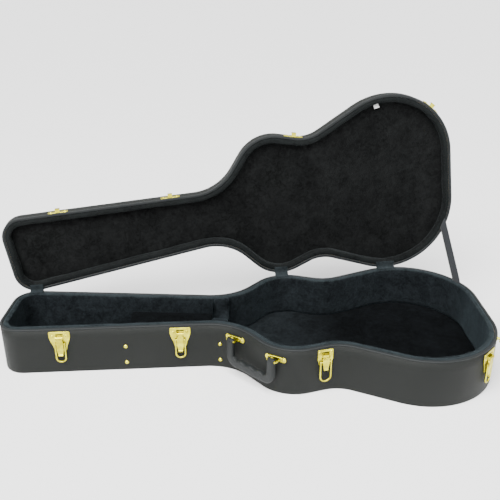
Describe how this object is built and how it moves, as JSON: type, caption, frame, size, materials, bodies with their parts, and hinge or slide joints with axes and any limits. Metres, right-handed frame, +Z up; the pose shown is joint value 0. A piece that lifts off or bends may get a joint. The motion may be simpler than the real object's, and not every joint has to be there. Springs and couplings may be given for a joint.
{
  "type": "guitar case",
  "caption": "Hinged hard case shaped to a guitar, lying open on its base shell, with plush lining, a neck cradle and compartment, draw latches, a carrying handle and a lid stay strap.",
  "frame": {"origin": "on the ground, under the middle of the base shell", "axes": "+X along the case from neck end to tail, -Y the handle side, +Y the hinge side, +Z up"},
  "size_m": [1.0727, 0.4753, 0.5329],
  "materials": {
    "vinyl": "grained leathercloth",
    "binding": "satin moulded binding",
    "plywood": "raw ply",
    "plush": "short pile plush",
    "strap": "woven tape",
    "tag": "blank woven label",
    "handle": "stitched leathercloth over a moulded core",
    "brass": "bright plated"
  },
  "bodies": {
    "base": {"base_bottom_covering": "vinyl", "base_bottom_panel": "plywood", "base_side_covering": "vinyl", "base_side_wall": "plywood", "base_edge_bead": "binding", "base_floor_lining": "plush", "base_wall_lining": "plush", "compartment_partition": "plush", "neck_cradle": "plush", "compartment_ledge": "plush", "handle_bracket_1": "brass", "handle_bracket_2": "brass", "hinge_base_leaf_1": "brass", "hinge_base_leaf_2": "brass", "hinge_base_leaf_3": "brass", "hinge_pins": "brass", "latch_pins": "brass", "base_rivets": "brass", "end_stud": "brass", "stay_strap": "strap", "latch_plate_1": "brass", "latch_plate_2": "brass", "latch_plate_3": "brass", "latch_plate_4": "brass"},
    "lid": {"lid_edge_bead": "binding", "lid_side_wall": "plywood", "lid_side_covering": "vinyl", "lid_top_panel": "plywood", "lid_top_covering": "vinyl", "lid_panel_lining": "plush", "lid_wall_lining": "plush", "care_tag": "tag", "lid_rivets": "brass", "hinge_lid_leaf_1": "brass", "hinge_lid_leaf_2": "brass", "hinge_lid_leaf_3": "brass", "latch_strike_1": "brass", "latch_strike_2": "brass", "latch_strike_3": "brass", "latch_strike_4": "brass"},
    "compartment_lid": {"compartment_lid": "plush", "compartment_pull_tab": "strap"},
    "handle": {"handle_grip": "handle", "handle_eye_1": "brass", "handle_eye_2": "brass"},
    "lever_1": {"latch_lever_1": "brass"},
    "bail_1": {"latch_bail_1": "brass"},
    "lever_2": {"latch_lever_2": "brass"},
    "bail_2": {"latch_bail_2": "brass"},
    "lever_3": {"latch_lever_3": "brass"},
    "bail_3": {"latch_bail_3": "brass"},
    "lever_4": {"latch_lever_4": "brass"},
    "bail_4": {"latch_bail_4": "brass"}
  },
  "joints": [
    {"name": "lid_hinge", "type": "hinge", "parent": "base", "child": "lid", "pos_m": [-0.02328, 0.15764, 0.1065], "axis": [0.9893, 0.1461, 0], "range_deg": [0, 90.3], "deforming": ["stay_strap"]},
    {"name": "compartment_hinge", "type": "hinge", "parent": "base", "child": "compartment_lid", "pos_m": [-0.262, 0.05804, 0.068], "axis": [0.9983, -0.0578, 0], "range_deg": [-88, 0]},
    {"name": "handle_swing", "type": "hinge", "parent": "base", "child": "handle", "pos_m": [-0.03353, -0.09428, 0.082], "axis": [-0.7317, 0.6817, 0], "range_deg": [0, 95]},
    {"name": "lever_turn_1", "type": "hinge", "parent": "base", "child": "lever_1", "pos_m": [-0.39171, -0.08972, 0.0865], "axis": [-0.9982, -0.0602, 0], "range_deg": [0, 150]},
    {"name": "bail_turn_1", "type": "hinge", "parent": "lever_1", "child": "bail_1", "pos_m": [-0.39171, -0.08972, 0.0725], "axis": [0.9982, 0.0602, 0], "range_deg": [-180, 0]},
    {"name": "lever_turn_2", "type": "hinge", "parent": "base", "child": "lever_2", "pos_m": [-0.14071, -0.07459, 0.0865], "axis": [-0.9982, -0.0602, 0], "range_deg": [0, 150]},
    {"name": "bail_turn_2", "type": "hinge", "parent": "lever_2", "child": "bail_2", "pos_m": [-0.14071, -0.07459, 0.0725], "axis": [0.9982, 0.0602, 0], "range_deg": [-180, 0]},
    {"name": "lever_turn_3", "type": "hinge", "parent": "base", "child": "lever_3", "pos_m": [0.15856, -0.16149, 0.0865], "axis": [-0.9646, -0.2637, 0], "range_deg": [0, 150]},
    {"name": "bail_turn_3", "type": "hinge", "parent": "lever_3", "child": "bail_3", "pos_m": [0.15856, -0.16149, 0.0725], "axis": [0.9646, 0.2637, 0], "range_deg": [-180, 0]},
    {"name": "lever_turn_4", "type": "hinge", "parent": "base", "child": "lever_4", "pos_m": [0.48461, -0.16931, 0.0865], "axis": [-0.6868, -0.7269, 0], "range_deg": [0, 150]},
    {"name": "bail_turn_4", "type": "hinge", "parent": "lever_4", "child": "bail_4", "pos_m": [0.48461, -0.16931, 0.0725], "axis": [0.6868, 0.7269, 0], "range_deg": [-180, 0]}
  ]
}
